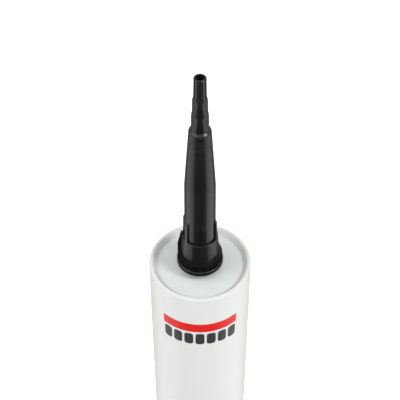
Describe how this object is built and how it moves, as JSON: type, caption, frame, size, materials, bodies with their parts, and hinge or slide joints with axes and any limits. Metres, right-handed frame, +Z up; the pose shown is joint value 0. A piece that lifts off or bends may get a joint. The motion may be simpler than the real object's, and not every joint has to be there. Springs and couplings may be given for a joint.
{
  "type": "caulk tube",
  "caption": "Upright plastic caulk tube with a stepped screw-on nozzle, a rear piston that a caulking gun pushes up, and its filling.",
  "frame": {"origin": "centre of the rear end that the cartridge stands on", "axes": "+Z up the cartridge's axis to the nozzle's tip; the print faces -Y"},
  "size_m": [0.05, 0.05, 0.3313],
  "materials": {
    "barrel": "white polyethylene, satin moulded surface with a printed red band",
    "nozzle": "black polyethylene, satin moulded surface",
    "piston": "natural polyethylene, satin",
    "sealant": "smooth white paste"
  },
  "bodies": {
    "barrel": {"cartridge_barrel": "barrel", "sealant": "sealant"},
    "piston": {"piston": "piston"},
    "nozzle": {"nozzle": "nozzle"}
  },
  "joints": [
    {"name": "piston_slide", "type": "slide", "parent": "barrel", "child": "piston", "axis": [0, 0, 1], "range_m": [0, 0.178], "deforming": ["sealant"]},
    {"name": "nozzle_lift", "type": "slide", "parent": "barrel", "child": "nozzle", "axis": [0, 0, 1], "range_m": [0, 0.03]}
  ]
}
